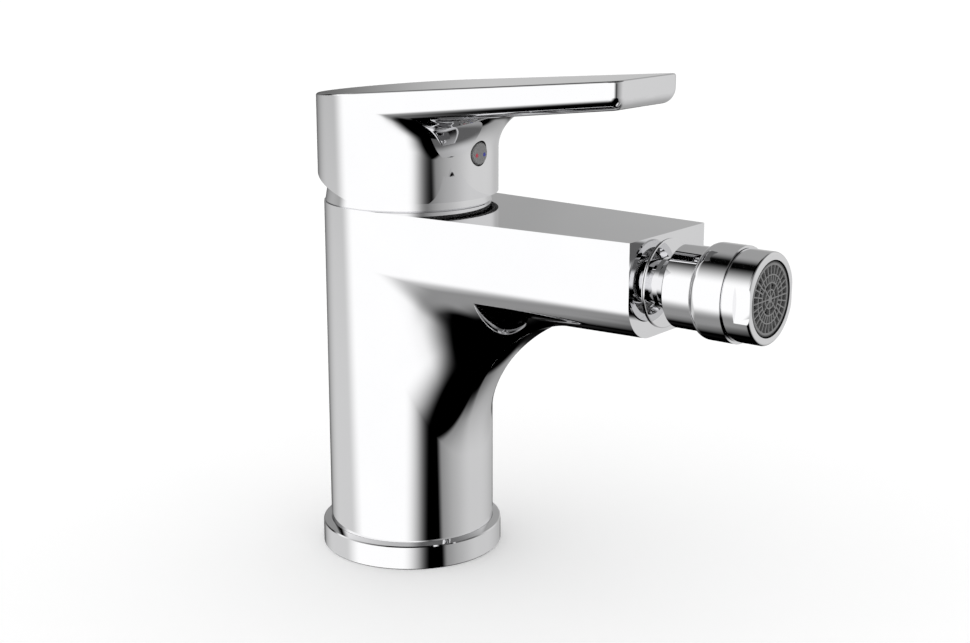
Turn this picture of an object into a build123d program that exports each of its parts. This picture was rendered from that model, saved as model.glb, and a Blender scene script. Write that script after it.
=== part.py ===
from build123d import *
import math
import os

# Single-lever bidet mixer, in millimetres. The origin is the centre of the base where it stands on the
# deck, +Z is up along the column, +X runs out along the spout, and the mixer is symmetric about y = 0.

# Clearances shared by every fit
running_gap = 0.05
sliding_gap = 0.10
loose_gap = 0.30
overrun = 5.0

# Space for hoses and stud inside the column, and the threads in its ceiling
ring_floor = 3.0
hose_space_top = 52.0
inlet_block_height = 23.0
stud_thread_radius = 3.4
stud_thread_depth = 14.0
stud_offset = 11.0
inlet_thread_radius = 4.5
inlet_thread_depth = 12.0
channel_radius = 3.0
pocket_floor = hose_space_top + inlet_block_height

# Lift of the lever
lift_angle = 20.0
lift_turn = math.radians(lift_angle)

# Cartridge stack, from the pocket's floor upwards
cartridge_radius = 17.5
base_plate_thickness = 4.0
disc_thickness = 3.5
carrier_thickness = 3.5
rotor_flange_thickness = 3.0
housing_shoulder_height = 3.1
plate_top = pocket_floor + base_plate_thickness
fixed_disc_top = plate_top + disc_thickness
moving_disc_top = fixed_disc_top + disc_thickness
carrier_top = moving_disc_top + carrier_thickness
rotor_foot = carrier_top + 2 * sliding_gap
rotor_step = rotor_foot + rotor_flange_thickness + 2 * sliding_gap
nut_seat = rotor_step + housing_shoulder_height

# Cartridge housing and its nut
housing_wall = 2.5
housing_shoulder_width = 4.5
housing_neck_height = 12.0
nut_thread_step = 1.7
nut_thread_length = 5.5
nut_hex_height = 5.0
nut_hex_inset = 0.725
locating_pin_radius = 1.4
locating_pin_length = 2.5
locating_pin_x = -6.0
locating_pin_y = 12.5
housing_cavity_radius = cartridge_radius - housing_wall
housing_neck_radius = cartridge_radius - housing_shoulder_width
housing_top = nut_seat + housing_neck_height
nut_thread_radius = cartridge_radius + nut_thread_step
nut_corner_radius = nut_thread_radius - nut_hex_inset

# Column and spout, one casting
pocket_wall = 4.55
column_wall = 3.0
spout_depth = 25.5
spout_tip = 85.4
spout_half_width = 17.7
spout_corner_radius = 10.0
spout_blend_radius = 45.0
spout_wall = 3.2
core_tip_wall = 3.0
riser_x = 27.0
crossing_depth = 6.0
blend_sections = 14
blend_end_turn = 1.0
column_radius = nut_thread_radius + pocket_wall
column_bore_radius = column_radius - column_wall
body_top = nut_seat + nut_thread_length
nut_top = body_top + nut_hex_height
spout_underside = body_top - spout_depth
crossing_height = pocket_floor - crossing_depth

# Base ring and its gasket
ring_overhang = 2.35
ring_ledge = 2.75
ring_height = 6.9
ring_rise = 0.4
ring_edge = 0.3
gasket_inset = 2.0
gasket_width = 4.4
gasket_thickness = 1.6
ring_radius = column_radius + ring_overhang
ring_bore_radius = column_bore_radius - ring_ledge
gasket_inner_radius = ring_bore_radius + gasket_inset
gasket_outer_radius = gasket_inner_radius + gasket_width

# Seals and ports through base plate and fixed disc
fixed_disc_gap = 1.5
port_radius = 2.8
seal_lead = 0.4
seal_width = 1.5
port_web = 0.22
port_angle = 47.06
port_rim = 2.5
port_seal_thickness = 1.2
disc_seal_thickness = 1.0
seal_inner_radius = port_radius + seal_lead
seal_outer_radius = seal_inner_radius + seal_width
port_pitch = 2 * (seal_outer_radius + port_web)
fixed_disc_radius = housing_cavity_radius - fixed_disc_gap
outlet_port_x = fixed_disc_radius - port_rim - port_radius
inlet_x = outlet_port_x - port_pitch * math.cos(math.radians(port_angle))
inlet_y = port_pitch * math.sin(math.radians(port_angle))
ports = ((inlet_x, inlet_y), (inlet_x, -inlet_y), (outlet_port_x, 0))

# Stem, its pivot pin and the ball that drives the carrier
pivot_rise = 10.0
stem_width = 7.2
stem_edge = 0.6
stem_foot_drop = 4.0
finger_radius = 1.6
ball_end_radius = 2.4
ball_end_rise = 2.5
pin_radius = 1.5
pin_inset = 0.82
pivot_height = nut_seat + pivot_rise
stem_foot = pivot_height - stem_foot_drop
ball_end_height = carrier_top + ball_end_rise
crank_length = pivot_height - ball_end_height
disc_travel = crank_length * math.sin(lift_turn)

# Ceramic discs
moving_disc_gap = 1.3
disc_lug_length = 2.6
disc_lug_depth = 1.4
chamber_depth = 2.0
chamber_land = 0.7
chamber_lobe_length = 7.0
chamber_lobe_margin = 1.3
chamber_neck_width = 5.2
chamber_neck_inset = 0.8
chamber_corner = 1.2
moving_disc_x = -disc_travel / 2
moving_disc_radius = housing_cavity_radius - disc_travel / 2 - moving_disc_gap

# Carrier that the stem pushes
carrier_inset = 0.3
carrier_boss_length = 7.6
carrier_boss_width = 8.0
carrier_boss_height = 4.7
carrier_peg_radius = 1.2
carrier_peg_length = 1.0
carrier_peg_inset = 1.6
carrier_peg_angle = 58.0
carrier_radius = moving_disc_radius - carrier_inset
peg_circle = carrier_radius - carrier_peg_inset
peg_x = moving_disc_x + peg_circle * math.cos(math.radians(carrier_peg_angle))
peg_y = peg_circle * math.sin(math.radians(carrier_peg_angle))
boss_top = carrier_top + carrier_boss_height

# Rotor that turns in the housing neck
neck_wall = 1.53
rotor_rise = 1.3
rotor_seal_depth = 1.5
rotor_seal_rise = 5.6
rotor_seal_thickness = 1.6
rotor_radius = housing_neck_radius - neck_wall - running_gap
rotor_flange_radius = housing_cavity_radius - loose_gap
rotor_top = housing_top + rotor_rise
rotor_seal_inner_radius = rotor_radius - rotor_seal_depth
rotor_seal_height = rotor_step + rotor_seal_rise
pin_half_length = rotor_radius - pin_inset

# Dome collar between body and lever
collar_foot_setback = 0.35
collar_foot_edge = 0.25
collar_waist_setback = 0.95
collar_shoulder_setback = 1.55
collar_waist_height = 3.8
collar_shoulder_height = 6.5
collar_height = 9.9
collar_nut_gap = 0.5
collar_rim = 0.6
collar_mouth_step = 2.4
collar_lip = 1.6
collar_bore_radius = nut_corner_radius + collar_nut_gap
collar_top_radius = collar_bore_radius + collar_rim
collar_mouth_radius = collar_bore_radius - collar_mouth_step

# Lever
cap_overhang = 1.58
cap_wall = 1.58
cap_gap = 2.5
cap_height = 28.95
cap_roof = 6.95
cap_rear_cut_angle = 16.5
lever_tip = 78.9
lever_half_width = 14.4
lever_depth = 9.05
lever_top_angle = 5.0
lever_underside_angle = 6.2
lever_corner_radius = 4.2
lever_blend_radius = 11.8
lever_edge = 0.7
lever_tip_corner = 3.5
stem_cover = 3.4
hub_wall = 3.0
hub_height = 13.0
rib_thickness = 2.4
rib_height = 6.5
cap_radius = column_radius + cap_overhang
cap_foot = body_top + cap_gap
lever_top = cap_foot + cap_height
lever_underside = lever_top - lever_depth
cap_ceiling = lever_top - cap_roof
stem_top = cap_ceiling - stem_cover
hub_foot = cap_ceiling - hub_height
rib_foot = cap_ceiling - rib_height

# Grub screw and the plug that hides it
screw_rise = 3.3
screw_radius = 2.45
screw_length = 6.0
screw_socket_across = 2.5
screw_socket_depth = 2.5
screw_boss_wall = 1.9
screw_access_step = 0.4
plug_radius = 3.45
plug_length = 3.85
plug_proud = 0.47
plug_head_step = 0.45
plug_head_length = 1.5
plug_edge = 0.2
mark_radius = 0.55
mark_depth = 0.4
mark_proud = 0.03
mark_spread = 1.62
mark_drop = 0.4
screw_height = hub_foot + screw_rise
screw_boss_radius = screw_radius + running_gap + screw_boss_wall
screw_access_radius = screw_radius + screw_access_step
plug_face_x = cap_radius + plug_proud

# Ball joint stem screwed into the spout
outlet_rise = 12.6
tail_radius = 7.0
tail_length = 12.0
tail_bore_radius = 3.2
flange_radius = 11.4
flange_thickness = 1.3
flange_undercut_length = 0.35
flange_undercut_depth = 1.0
flange_edge = 0.2
step_width = 1.0
step_thickness = 0.6
joint_neck_radius = 5.7
joint_ball_radius = 8.1
joint_reach = 12.1
joint_ball_flat = 6.9
outlet_seal_width = 1.75
outlet_seal_thickness = 1.2
outlet_height = spout_underside + outlet_rise
joint_ball_x = spout_tip + joint_reach
step_radius = joint_neck_radius + step_width
outlet_seal_inner_radius = tail_radius + 3 * running_gap
outlet_seal_outer_radius = outlet_seal_inner_radius + outlet_seal_width

# Seat rings round the ball, angles from the spout side
seat_gap = 0.06
seat_thickness = 0.98
rear_seat_start_angle = 59.0
rear_seat_end_angle = 84.0
front_seat_start_angle = 96.0
front_seat_end_angle = 128.0
cavity_radius = joint_ball_radius + 2 * seat_gap + seat_thickness

# Swivelling outlet
nut_lip_angle = 56.0
nut_rear_reach = 7.4
nut_front_reach = 3.2
nut_wall = 1.0
nut_collar_step = 0.4
nut_mouth_wall = 2.0
nut_edge = 0.3
sleeve_rear_setback = 0.5
sleeve_front_reach = 9.8
sleeve_web_reach = 5.9
sleeve_web_thickness = 0.4
sleeve_wall = 2.0
sleeve_shoulder_length = 2.5
sleeve_thread_wall = 1.1
washer_width = 3.2
washer_thickness = 0.6
nut_tail_radius = cavity_radius + nut_wall
nut_radius = nut_tail_radius + nut_collar_step
nut_mouth_radius = nut_radius - nut_mouth_wall
nut_rear_x = joint_ball_x - nut_rear_reach
nut_front_x = joint_ball_x + nut_front_reach
sleeve_radius = nut_tail_radius + sleeve_wall
sleeve_thread_radius = sleeve_radius - sleeve_thread_wall
sleeve_rear_x = joint_ball_x + sleeve_rear_setback
sleeve_front_x = joint_ball_x + sleeve_front_reach
sleeve_web_x = joint_ball_x + sleeve_web_reach
sleeve_thread_x = sleeve_web_x + sleeve_web_thickness
washer_end_x = sleeve_thread_x + washer_thickness

# Aerator
aerator_step = 0.65
aerator_joint_gap = 0.2
aerator_length = 7.2
aerator_wall = 1.95
aerator_seat_width = 0.8
aerator_seat_reach = 1.8
aerator_edge = 0.7
wrench_depth = 0.91
wrench_flat_reach = 3.1
insert_gap = 0.35
insert_wall = 0.95
insert_flange_thickness = 1.0
insert_recess = 0.25
grid_thickness = 0.8
grid_bar = 0.34
grid_hub_radius = 0.9
grid_ring_shares = (0.25, 0.44, 0.65)
grid_inner_spokes = 8
grid_outer_spokes = 28
flow_plate_thickness = 1.4
flow_hole_radius = 0.6
flow_hole_circle_share = 0.68
flow_hole_count = 12
screen_thickness = 0.3
screen_spacing = 1.2
aerator_radius = sleeve_radius - aerator_step
aerator_rear_x = sleeve_front_x + aerator_joint_gap
aerator_front_x = aerator_rear_x + aerator_length
aerator_seat_x = washer_end_x + aerator_seat_reach
aerator_bore_radius = aerator_radius - aerator_wall
aerator_seat_radius = aerator_bore_radius - aerator_seat_width
insert_radius = aerator_bore_radius - insert_gap
insert_bore_radius = insert_radius - insert_wall
insert_front_x = aerator_front_x - insert_recess
outlet_axis = Axis((0, 0, outlet_height), (1, 0, 0))


def turned(*corners):
    """Solid turned about the column's axis from (radius, height) corners."""
    profile = Plane.XZ * make_face(Polyline(*corners, close=True))
    return revolve(profile, Axis.Z)


def outlet_turned(*corners):
    """Solid turned about the outlet's axis from (x, radius) corners."""
    raised = [(x, outlet_height + radius) for x, radius in corners]
    profile = Plane.XZ * make_face(Polyline(*raised, close=True))
    return revolve(profile, outlet_axis)


def upright(x, y, radius, low, high):
    """Round rod or hole along Z."""
    return Pos(x, y, low) * Cylinder(radius, high - low, align=(Align.CENTER, Align.CENTER, Align.MIN))


def lengthwise(y, z, radius, start, end):
    """Round rod or hole along X."""
    rod = Cylinder(radius, end - start, align=(Align.CENTER, Align.CENTER, Align.MIN))
    return Pos(start, y, z) * Rot(0, 90, 0) * rod


def block(x_range, y_range, z_range):
    """Rectangular block between two limits on each axis."""
    size = [high - low for low, high in (x_range, y_range, z_range)]
    corner = Pos(x_range[0], y_range[0], z_range[0])
    return corner * Box(*size, align=(Align.MIN, Align.MIN, Align.MIN))


def ball_zone(radius, start, end):
    """Arc on a sphere round the joint's ball, at angles from the spout side, for an outlet profile."""
    def point(angle):
        turn = math.radians(angle)
        return (joint_ball_x - radius * math.cos(turn), outlet_height + radius * math.sin(turn))
    return ThreePointArc(point(start), point((start + end) / 2), point(end))


def outlet_profile(*edges):
    """Solid turned about the outlet's axis from profile edges drawn in x and z."""
    return revolve(Plane.XZ * make_face(list(edges)), outlet_axis)


class ArmBlend:
    """Skin of an arm that leaves a column: a ball rolls in the corner between column and arm.

    The arm's side walls are tangent to the column and taper to the tip, its underside is a plane that
    may tilt, and its lower edges are rounded. Each meridian of the skin goes up the column to the
    ball's contact, round the ball, and along the arm to the tip.
    """

    def __init__(self, column, tip, half_width, underside, tilt, corner, ball):
        self.column = column
        self.tip = tip
        self.half_width = half_width
        self.corner = corner
        self.ball = ball
        self.slope = math.tan(math.radians(tilt))
        self.wall_turn = math.atan2(half_width, tip) + math.acos(column / math.hypot(tip, half_width))
        self.up = Vector(-self.slope, 0, 1).normalized()
        self.rise = corner / self.up.Z
        self.drop = ball / self.up.Z
        self.underside = underside
        self.flat_turn = self.find_flat_turn()
        self.flat_edge = self.along_to_tip(self.contact(self.flat_turn, 1)[2], 1)

    def wall(self, side):
        """Outward normal of a side wall."""
        return Vector(math.cos(self.wall_turn), side * math.sin(self.wall_turn), 0)

    def along(self, side):
        """Direction of a rounded lower edge, out towards the tip."""
        out = Vector(math.sin(self.wall_turn), -side * math.cos(self.wall_turn), 0)
        return (out + Vector(0, 0, out.X * self.slope)).normalized()

    def edge_centre(self, side):
        """Point on the axis of a rounded lower edge, beside the column's tangent line."""
        foot = self.wall(side) * (self.column - self.corner)
        return foot + Vector(0, 0, self.underside + foot.X * self.slope + self.rise)

    def across(self, side):
        """Direction in the underside, square to a lower edge and pointing out."""
        square = self.along(side).cross(self.up)
        return square if square.dot(self.wall(side)) > 0 else square * -1

    def find_flat_turn(self):
        """Azimuth at which the ball leaves the flat underside for the rounded edge."""
        out = self.across(1)
        reach = self.column + self.ball
        fixed = (self.edge_centre(1) - Vector(0, 0, self.underside - self.drop)).dot(out)
        share_x = out.X + out.Z * self.slope
        lean = math.atan2(out.Y, share_x)
        return lean - math.acos(fixed / (reach * math.hypot(share_x, out.Y)))

    def contact(self, turn, side):
        """Ball centre, its contact on the column and its contact on the arm at an azimuth."""
        reach = self.column + self.ball
        inward = Vector(-math.cos(turn), -math.sin(turn), 0)
        centre = inward * -reach
        centre += Vector(0, 0, self.underside + centre.X * self.slope - self.drop)
        towards = self.up
        if abs(turn) > self.flat_turn:
            axis_point = self.edge_centre(side)
            along = self.along(side)
            flat = Vector(centre.X - axis_point.X, centre.Y - axis_point.Y, 0)
            run = flat.dot(along)
            square = 1 - along.Z**2
            half = -run * along.Z
            rest = flat.dot(flat) - run**2 - (self.ball + self.corner) ** 2
            depth = (half + math.sqrt(max(half**2 - square * rest, 0))) / square
            centre = axis_point + flat - Vector(0, 0, depth)
            offset = centre - axis_point
            nearest = axis_point + along * offset.dot(along)
            towards = (nearest - centre).normalized()
        return centre, centre + inward * self.ball, centre + towards * self.ball

    def along_to_tip(self, start, side):
        """Where a line along a lower edge reaches the tip."""
        along = self.along(side)
        return start + along * ((self.tip - start.X) / along.X)

    def meridian(self, turn, base):
        """One line of the skin, from the base up the column and out to the tip."""
        side = 1 if turn >= 0 else -1
        centre, low, high = self.contact(turn, side)
        middle = centre + ((low - centre) + (high - centre)).normalized() * self.ball
        if abs(turn) > self.flat_turn:
            end = self.along_to_tip(high, side)
        else:
            end = Vector(self.tip, self.flat_edge.Y * turn / self.flat_turn, self.flat_edge.Z)
        foot = Vector(low.X, low.Y, base)
        return Wire([Line(foot, low), ThreePointArc(low, middle, high), Line(high, end)])

    def wall_corners(self, side, base, top):
        """Corners of a side wall where it leaves the column and where it ends."""
        last = math.radians(blend_end_turn)
        low = self.contact(self.wall_turn - last, 1)[1].Z
        tangent = self.wall(side) * self.column
        along = self.along(side)
        start = tangent + Vector(0, 0, self.edge_centre(side).Z)
        step = (self.column + self.ball) * math.sin(last) / math.hypot(along.X, along.Y)
        high = start + along * step
        end = self.along_to_tip(high, side)
        at = lambda z: tangent + Vector(0, 0, z)
        return at(base), at(low), high, end, at(top), Vector(end.X, end.Y, top)

    def solid(self, base, top):
        """The whole column and arm between two flat ends."""
        left, right = (self.wall_corners(side, base, top) for side in (-1, 1))
        first, last = (Wire([Line(c[0], c[1]), Line(c[1], c[2]), Line(c[2], c[3])]) for c in (left, right))
        inner = [self.flat_turn * k / 2 for k in range(-2, 3)]
        outermost = self.wall_turn - 3 * math.radians(blend_end_turn)
        pitch = (outermost - self.flat_turn) / blend_sections
        outer = [self.flat_turn + pitch * k for k in range(1, blend_sections + 1)]
        turns = [-t for t in reversed(outer)] + inner + outer
        skin = Shell.make_loft([first] + [self.meridian(t, base) for t in turns] + [last], False)
        base_curve = skin.edges().sort_by(Axis.Z)[0]
        tip_curve = skin.edges().sort_by(Axis.X)[-1]
        faces = list(skin.faces())
        for c in (left, right):
            faces.append(Face(Wire([Line(c[1], c[2]), Line(c[2], c[3]), Line(c[3], c[5]),
                                    Line(c[5], c[4]), Line(c[4], c[1])])))
        tip_top = Line(left[5], right[5])
        back_top = Line(left[4], right[4])
        back_foot = Line(left[0], right[0])
        faces.append(Face(Wire([tip_curve, Line(left[3], left[5]), tip_top, Line(right[5], right[3])])))
        faces.append(Face(Wire([back_top, Line(left[4], left[5]), tip_top, Line(right[5], right[4])])))
        faces.append(Face(Wire([base_curve, back_foot])))
        faces.append(Face(Wire([back_foot, Line(left[0], left[1]), Line(left[1], left[4]), back_top,
                                Line(right[4], right[1]), Line(right[1], right[0])])))
        front = Solid(Shell(faces))
        rear = split(upright(0, 0, self.column, base, top), Plane.YZ.offset(left[0].X), keep=Keep.BOTTOM)
        return rear + front


def make_body():
    """Casting: column and spout with hose space, waterways and cartridge pocket."""
    blend = ArmBlend(column_radius, spout_tip, spout_half_width, spout_underside, 0,
                     spout_corner_radius, spout_blend_radius)
    body = blend.solid(ring_floor, body_top)
    body -= upright(0, 0, column_bore_radius, ring_floor - overrun, hose_space_top)
    body -= upright(-stud_offset, 0, stud_thread_radius, hose_space_top, hose_space_top + stud_thread_depth)
    for side in (-1, 1):
        thread_top = hose_space_top + inlet_thread_depth
        body -= upright(inlet_x, side * inlet_y, inlet_thread_radius, hose_space_top, thread_top)
        body -= upright(inlet_x, side * inlet_y, channel_radius, hose_space_top, pocket_floor)
        pin_floor = pocket_floor - locating_pin_length - sliding_gap
        hole_radius = locating_pin_radius + sliding_gap
        body -= upright(locating_pin_x, side * locating_pin_y, hole_radius, pin_floor, pocket_floor)
    pocket_radius = cartridge_radius + sliding_gap
    body -= upright(0, 0, pocket_radius, pocket_floor, body_top + overrun)
    body -= upright(0, 0, nut_thread_radius + running_gap, nut_seat - loose_gap, body_top + overrun)
    body -= upright(outlet_port_x, 0, channel_radius, crossing_height, pocket_floor)
    body -= lengthwise(0, crossing_height, channel_radius, outlet_port_x, riser_x)
    body -= upright(riser_x, 0, channel_radius, crossing_height, outlet_height)
    body -= make_spout_core(blend)
    tail_end = spout_tip - tail_length - core_tip_wall
    body -= lengthwise(0, outlet_height, tail_radius + running_gap, tail_end, spout_tip + overrun)
    seal_start = spout_tip - outlet_seal_thickness
    seal_radius = outlet_seal_outer_radius + running_gap
    body -= lengthwise(0, outlet_height, seal_radius, seal_start, spout_tip + overrun)
    return body


def make_spout_core(blend):
    """Waterway cast inside the spout, an even wall away from its outside and from the pocket."""
    out = blend.along(1)
    start = blend.wall(1) * (column_radius - spout_wall)
    end_x = spout_tip - tail_length - core_tip_wall / 2
    end_y = start.Y + (end_x - start.X) * out.Y / out.X
    low = spout_underside + spout_wall
    plan = Polyline((start.X, start.Y), (end_x, end_y), (end_x, -end_y), (start.X, -start.Y), close=True)
    core = Pos(0, 0, low) * extrude(make_face(plan), body_top - spout_wall - low)
    long_edges = [e for e in core.edges() if abs((e % 0).Z) < 0.5 and abs((e % 0).X) > 0.5]
    core = fillet(ShapeList(long_edges).group_by(Axis.Z)[0], spout_corner_radius - spout_wall)
    return core - upright(0, 0, nut_thread_radius + spout_wall, low - overrun, body_top)


def make_base_ring():
    """Chrome ring that the column stands in, with a groove below for the gasket."""
    bore = column_radius + running_gap
    groove_inner = gasket_inner_radius - sliding_gap
    groove_outer = gasket_outer_radius + sliding_gap
    ring = turned(
        (ring_bore_radius, 0), (groove_inner, 0), (groove_inner, gasket_thickness),
        (groove_outer, gasket_thickness), (groove_outer, 0), (ring_radius - ring_edge, 0),
        (ring_radius, ring_edge), (ring_radius, ring_height - ring_edge),
        (ring_radius - ring_edge, ring_height), (bore, ring_height + ring_rise),
        (bore, ring_floor), (ring_bore_radius, ring_floor))
    return ring


def make_base_gasket():
    """Flat rubber gasket between ring and deck."""
    return turned((gasket_inner_radius, 0), (gasket_outer_radius, 0),
                  (gasket_outer_radius, gasket_thickness), (gasket_inner_radius, gasket_thickness))


def make_dome_collar():
    """Conical chrome collar that stands on the body and closes the gap below the lever's cap."""
    foot = body_top
    foot_radius = column_radius - collar_foot_setback
    top = foot + collar_height
    shoulder = (column_radius - collar_shoulder_setback, foot + collar_shoulder_height)
    crown = (collar_top_radius, top)
    lean = (shoulder[0] - crown[0]) / 4
    middle = ((shoulder[0] + crown[0]) / 2 + lean, (shoulder[1] + crown[1]) / 2 + lean)
    inside = Polyline(crown, (collar_mouth_radius, top), (collar_mouth_radius, top - collar_lip),
                      (collar_bore_radius, top - collar_lip), (collar_bore_radius, foot),
                      (foot_radius - collar_foot_edge, foot), (foot_radius, foot + collar_foot_edge),
                      (column_radius - collar_waist_setback, foot + collar_waist_height), shoulder)
    profile = make_face([ThreePointArc(shoulder, middle, crown), *inside.edges()])
    return revolve(Plane.XZ * profile, Axis.Z)


def make_cartridge_nut():
    """Brass nut with a hexagon, screwed into the body down on the cartridge's shoulder."""
    nut = upright(0, 0, nut_thread_radius, nut_seat, body_top)
    hexagon = RegularPolygon(nut_corner_radius, 6)
    nut += Pos(0, 0, body_top) * extrude(hexagon, nut_top - body_top)
    nut -= upright(0, 0, housing_neck_radius + sliding_gap, nut_seat - overrun, nut_top + overrun)
    return nut


def make_cartridge_housing():
    """Plastic housing: wide cavity for discs and rotor flange, and a neck the rotor turns in."""
    return turned(
        (housing_cavity_radius, plate_top), (cartridge_radius, plate_top), (cartridge_radius, nut_seat),
        (housing_neck_radius, nut_seat), (housing_neck_radius, housing_top),
        (rotor_radius + running_gap, housing_top), (rotor_radius + running_gap, rotor_step),
        (housing_cavity_radius, rotor_step))


def seal_rings(low, thickness):
    """Three flat seal rings, one round each port."""
    rings = []
    for x, y in ports:
        ring = upright(x, y, seal_outer_radius, low, low + thickness)
        rings.append(ring - upright(x, y, seal_inner_radius, low - overrun, low + overrun))
    return Compound(children=[ring.solid() for ring in rings])


def make_cartridge_base():
    """Base plate of the cartridge with ports, seal grooves, locating pins and disc lugs."""
    plate = upright(0, 0, cartridge_radius, pocket_floor, plate_top)
    grooves = ((pocket_floor, port_seal_thickness), (plate_top - disc_seal_thickness, disc_seal_thickness))
    for x, y in ports:
        plate -= upright(x, y, port_radius, pocket_floor - overrun, plate_top + overrun)
        for low, depth in grooves:
            groove = upright(x, y, seal_outer_radius + running_gap, low, low + depth)
            plate -= groove - upright(x, y, seal_inner_radius - running_gap, low, low + depth)
    for side in (-1, 1):
        pin_low = pocket_floor - locating_pin_length
        plate += upright(locating_pin_x, side * locating_pin_y, locating_pin_radius, pin_low, plate_top)
        lug_inner = side * (fixed_disc_radius - disc_lug_depth)
        lug_outer = side * fixed_disc_radius
        plate += block((-disc_lug_length / 2, disc_lug_length / 2), sorted((lug_inner, lug_outer)),
                       (plate_top, plate_top + disc_thickness / 2))
    return plate


def make_fixed_disc():
    """Lower ceramic disc, held by the base plate's lugs."""
    disc = upright(0, 0, fixed_disc_radius, plate_top, fixed_disc_top)
    for x, y in ports:
        disc -= upright(x, y, port_radius, plate_top - overrun, fixed_disc_top + overrun)
    half_length = disc_lug_length / 2 + sliding_gap
    for side in (-1, 1):
        notch_inner = side * (fixed_disc_radius - disc_lug_depth - sliding_gap)
        notch_outer = side * (fixed_disc_radius + overrun)
        disc -= block((-half_length, half_length), sorted((notch_inner, notch_outer)),
                      (plate_top, plate_top + disc_thickness / 2 + sliding_gap))
    return disc


def make_moving_disc():
    """Upper ceramic disc with the mixing chamber in its underside, in the closed place."""
    disc = upright(moving_disc_x, 0, moving_disc_radius, fixed_disc_top, moving_disc_top)
    lobe_x = inlet_x - port_radius - chamber_land - chamber_lobe_length / 2
    lobe_plan = RectangleRounded(chamber_lobe_length, 2 * (inlet_y + chamber_lobe_margin), chamber_corner)
    lobe = Pos(lobe_x, 0, fixed_disc_top) * extrude(lobe_plan, chamber_depth)
    neck_half = chamber_neck_width / 2
    neck = block((lobe_x, outlet_port_x - chamber_neck_inset), (-neck_half, neck_half),
                 (fixed_disc_top, fixed_disc_top + chamber_depth))
    disc -= lobe
    disc -= neck
    for side in (-1, 1):
        hole_floor = moving_disc_top - carrier_peg_length - sliding_gap
        disc -= upright(peg_x, side * peg_y, carrier_peg_radius + running_gap, hole_floor, moving_disc_top)
    return disc


def make_disc_carrier():
    """Plastic carrier on the moving disc, with the pocket that the stem's ball pushes."""
    carrier = upright(moving_disc_x, 0, carrier_radius, moving_disc_top, carrier_top)
    half_length = carrier_boss_length / 2
    half_width = carrier_boss_width / 2
    carrier += block((-half_length, half_length), (-half_width, half_width), (moving_disc_top, boss_top))
    pocket_radius = ball_end_radius + sliding_gap
    pocket_foot = ball_end_height - ball_end_radius - loose_gap
    carrier -= upright(0, 0, pocket_radius, pocket_foot, boss_top + overrun)
    for side in (-1, 1):
        peg_foot = moving_disc_top - carrier_peg_length
        carrier += upright(peg_x, side * peg_y, carrier_peg_radius, peg_foot, carrier_top)
    return carrier


def make_cartridge_rotor():
    """Rotor that turns with the lever and carries the stem on a cross pin."""
    flange_top = rotor_foot + rotor_flange_thickness
    groove_radius = rotor_seal_inner_radius - running_gap
    groove_low = rotor_seal_height - running_gap
    groove_high = rotor_seal_height + rotor_seal_thickness + running_gap
    rotor = turned(
        (0, rotor_foot), (rotor_flange_radius, rotor_foot), (rotor_flange_radius, flange_top),
        (rotor_radius, flange_top), (rotor_radius, groove_low), (groove_radius, groove_low),
        (groove_radius, groove_high), (rotor_radius, groove_high), (rotor_radius, rotor_top), (0, rotor_top))
    boss_half = carrier_boss_length / 2 + loose_gap
    boss_side = carrier_boss_width / 2 + loose_gap
    raised_ball = pivot_height - crank_length * math.cos(lift_turn)
    rotor -= block((-boss_half, boss_half + disc_travel), (-boss_side, boss_side),
                   (rotor_foot - overrun, raised_ball + ball_end_radius + loose_gap))
    half = stem_width / 2
    back = (half + (rotor_top - pivot_height) * math.sin(lift_turn)) / math.cos(lift_turn) + loose_gap
    front = half * math.cos(lift_turn) + stem_foot_drop * math.sin(lift_turn) + 3 * loose_gap
    side = half + 3 * running_gap
    rotor -= block((-back, front), (-side, side), (rotor_foot, rotor_top + overrun))
    return rotor - cross_pin(pin_radius + running_gap / 2, rotor_radius + overrun)


def cross_pin(radius, half_length):
    """Round rod along Y through the stem's pivot."""
    return Pos(0, 0, pivot_height) * Rot(90, 0, 0) * Cylinder(radius, 2 * half_length)


def make_rotor_seal():
    """Seal ring in the rotor's groove."""
    outer = rotor_radius + running_gap / 2
    top = rotor_seal_height + rotor_seal_thickness
    return turned((rotor_seal_inner_radius, rotor_seal_height), (outer, rotor_seal_height),
                  (outer, top), (rotor_seal_inner_radius, top))


def make_stem():
    """Square steel stem with a finger and ball below its pivot."""
    half = stem_width / 2
    square = chamfer(Rectangle(stem_width, stem_width).vertices(), stem_edge)
    stem = Pos(0, 0, stem_foot) * extrude(square, stem_top - stem_foot)
    stem += upright(0, 0, finger_radius, ball_end_height, stem_foot + half)
    stem += Pos(0, 0, ball_end_height) * Sphere(ball_end_radius)
    return stem - cross_pin(pin_radius + running_gap, stem_width)


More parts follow.
